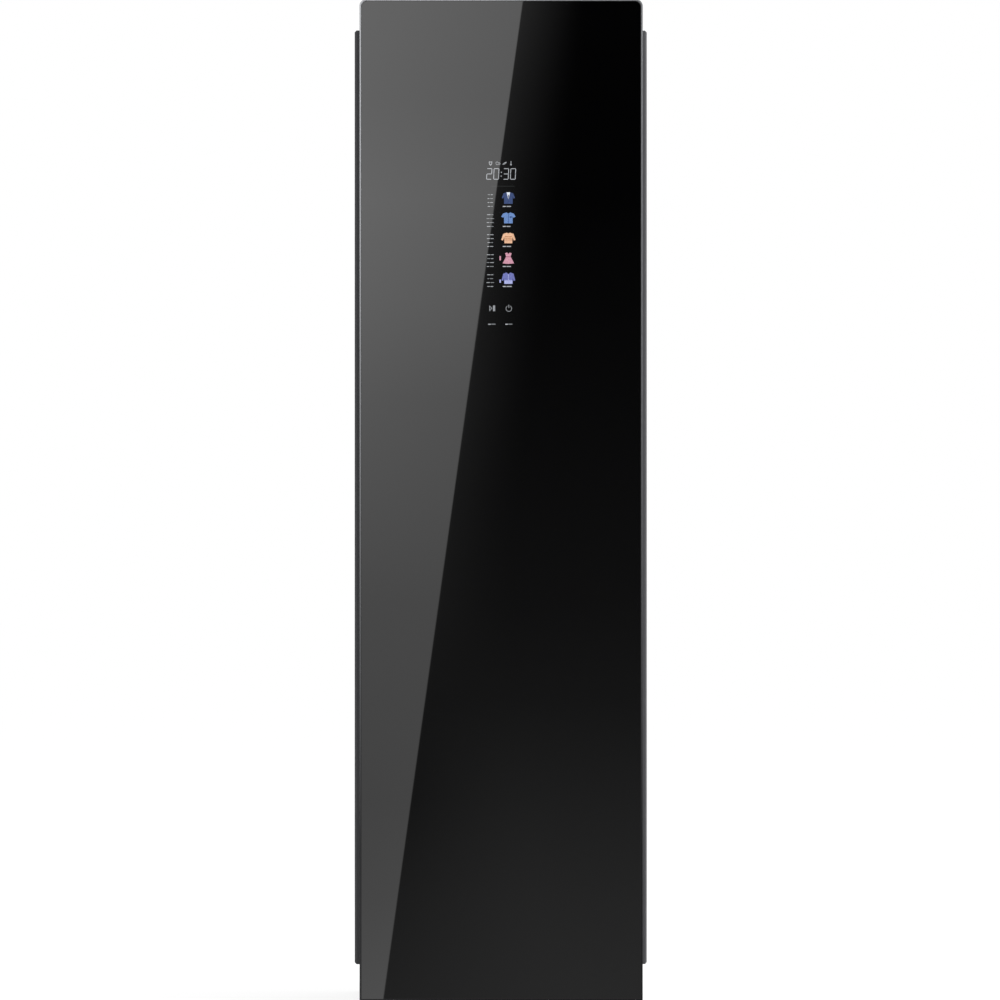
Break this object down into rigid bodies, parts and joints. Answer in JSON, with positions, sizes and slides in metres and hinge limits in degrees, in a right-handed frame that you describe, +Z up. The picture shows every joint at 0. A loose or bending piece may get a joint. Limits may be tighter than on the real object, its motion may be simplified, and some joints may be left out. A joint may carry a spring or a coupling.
{
  "type": "clothes care steam cabinet",
  "caption": "Tall free-standing clothes care steam cabinet: mirror-black glass door with a display, steam chamber with a shaking hanger bar, water tanks and a heat-pump air unit.",
  "frame": {"origin": "on the floor, at the middle of the whole footprint", "axes": "+Z up, +X to the right seen from the front, +Y to the back; the door faces -Y"},
  "size_m": [0.5538, 0.6, 1.9],
  "materials": {
    "wall_steel": "satin paint, dark graphite",
    "zinc_steel": "zinc plated",
    "frame_plastic": "fine matt",
    "liner_plastic": "satin white-grey",
    "cladding_plastic": "satin dark grey",
    "felt": "soft felt",
    "foam": "cut foam",
    "black_glass": "polished, opaque black",
    "edge_aluminium": "satin anodised",
    "door_plastic": "moulded",
    "inner_plastic": "satin",
    "seal_rubber": "matt",
    "display_black": "dark",
    "bearing_plastic": "smooth",
    "lamp_lens": "frosted",
    "clear_plastic": "clear, blue-grey",
    "tank_lid_plastic": "satin",
    "duct_plastic": "moulded",
    "fin_aluminium": "bare",
    "fan_plastic": "moulded",
    "motor_grey": "cast",
    "compressor_black": "gloss paint",
    "mount_rubber": "matt",
    "copper": "drawn copper",
    "boiler_aluminium": "cast",
    "hose_silicone": "silicone",
    "box_plastic": "moulded",
    "hinge_steel": "satin",
    "bar_metal": "satin",
    "board_fabric": "woven, padded",
    "foot_plastic": "moulded"
  },
  "bodies": {
    "cabinet": {"base_pan": "wall_steel", "side_wall_right": "wall_steel", "side_wall_left": "wall_steel", "top_panel": "wall_steel", "rear_panel": "wall_steel", "rear_cover": "wall_steel", "front_frame": "frame_plastic", "side_cladding_right": "cladding_plastic", "side_cladding_left": "cladding_plastic", "chamber_liner": "liner_plastic", "chamber_insulation": "felt", "chamber_lamp": "lamp_lens", "shaker_base": "zinc_steel", "shaker_motor": "motor_grey", "tank_bay": "duct_plastic", "air_duct": "duct_plastic", "evaporator": "fin_aluminium", "condenser": "fin_aluminium", "fan_scroll": "fan_plastic", "fan_motor": "motor_grey", "outlet_grille": "duct_plastic", "compressor": "compressor_black", "compressor_mounts": "mount_rubber", "refrigerant_pipes": "copper", "steam_boiler": "boiler_aluminium", "steam_hose": "hose_silicone", "steam_nozzle": "duct_plastic", "water_hoses": "hose_silicone", "water_pumps": "box_plastic", "control_box": "box_plastic", "power_inlet": "foot_plastic", "top_hinge": "hinge_steel", "bottom_hinge": "hinge_steel", "hinge_cover": "frame_plastic"},
    "door": {"door_glass": "black_glass", "door_trim": "edge_aluminium", "door_chassis": "door_plastic", "door_grip": "door_plastic", "door_foam": "foam", "door_liner": "inner_plastic", "door_gasket": "seal_rubber", "display_module": "display_black", "door_bushes": "bearing_plastic", "press_board": "board_fabric"},
    "press_plate": {"press_plate": "inner_plastic"},
    "supply_tank": {"supply_tank": "clear_plastic", "supply_tank_lid": "tank_lid_plastic"},
    "drain_tank": {"drain_tank": "clear_plastic", "drain_tank_lid": "tank_lid_plastic"},
    "hanger_shaker": {"shaker_carriage": "bearing_plastic", "hanger_bar": "bar_metal"},
    "shaker_crank": {"shaker_crank": "hinge_steel"},
    "fan_wheel": {"fan_wheel": "fan_plastic"},
    "shelf": {"shelf": "inner_plastic"},
    "lint_filter": {"lint_filter": "duct_plastic"},
    "aroma_cartridge": {"aroma_cartridge": "tank_lid_plastic"},
    "foot_front_left": {"foot_front_left": "foot_plastic"},
    "foot_rear_left": {"foot_rear_left": "foot_plastic"},
    "foot_front_right": {"foot_front_right": "foot_plastic"},
    "foot_rear_right": {"foot_rear_right": "foot_plastic"}
  },
  "joints": [
    {"name": "door_hinge", "type": "hinge", "parent": "cabinet", "child": "door", "pos_m": [0.252, -0.278, 1], "axis": [0, 0, 1], "range_deg": [0, 110]},
    {"name": "supply_tank_slide", "type": "slide", "parent": "cabinet", "child": "supply_tank", "axis": [0, -1, 0], "range_m": [0, 0.16]},
    {"name": "drain_tank_slide", "type": "slide", "parent": "cabinet", "child": "drain_tank", "axis": [0, -1, 0], "range_m": [0, 0.16]},
    {"name": "hanger_shake", "type": "slide", "parent": "cabinet", "child": "hanger_shaker", "axis": [1, 0, 0], "range_m": [-0.015, 0.015]},
    {"name": "crank_spin", "type": "hinge", "parent": "cabinet", "child": "shaker_crank", "pos_m": [0, 0, 1.7905], "axis": [0, 0, 1], "continuous": true},
    {"name": "fan_spin", "type": "hinge", "parent": "cabinet", "child": "fan_wheel", "pos_m": [0, 0.194, 0.2955], "axis": [0, 1, 0], "continuous": true},
    {"name": "press_plate_hinge", "type": "hinge", "parent": "door", "child": "press_plate", "pos_m": [0.158, -0.2415, 0.95], "axis": [0, 0, -1], "range_deg": [0, 100]},
    {"name": "shelf_lift", "type": "slide", "parent": "cabinet", "child": "shelf", "axis": [0, 0, 1], "range_m": [0, 0.06]},
    {"name": "lint_filter_lift", "type": "slide", "parent": "cabinet", "child": "lint_filter", "axis": [0, 0, 1], "range_m": [0, 0.1]},
    {"name": "aroma_cartridge_lift", "type": "slide", "parent": "cabinet", "child": "aroma_cartridge", "axis": [0, 0, 1], "range_m": [0, 0.08]},
    {"name": "foot_front_left_turn", "type": "hinge", "parent": "cabinet", "child": "foot_front_left", "pos_m": [-0.2295, -0.207, 0], "axis": [0, 0, 1], "continuous": true},
    {"name": "foot_rear_left_turn", "type": "hinge", "parent": "cabinet", "child": "foot_rear_left", "pos_m": [-0.2295, 0.248, 0], "axis": [0, 0, 1], "continuous": true},
    {"name": "foot_front_right_turn", "type": "hinge", "parent": "cabinet", "child": "foot_front_right", "pos_m": [0.2295, -0.207, 0], "axis": [0, 0, 1], "continuous": true},
    {"name": "foot_rear_right_turn", "type": "hinge", "parent": "cabinet", "child": "foot_rear_right", "pos_m": [0.2295, 0.248, 0], "axis": [0, 0, 1], "continuous": true}
  ],
  "couplings": [
    {"joint": "supply_tank_slide", "follows": "door_hinge", "m_per_rad": 0.083},
    {"joint": "drain_tank_slide", "follows": "door_hinge", "m_per_rad": 0.083}
  ]
}
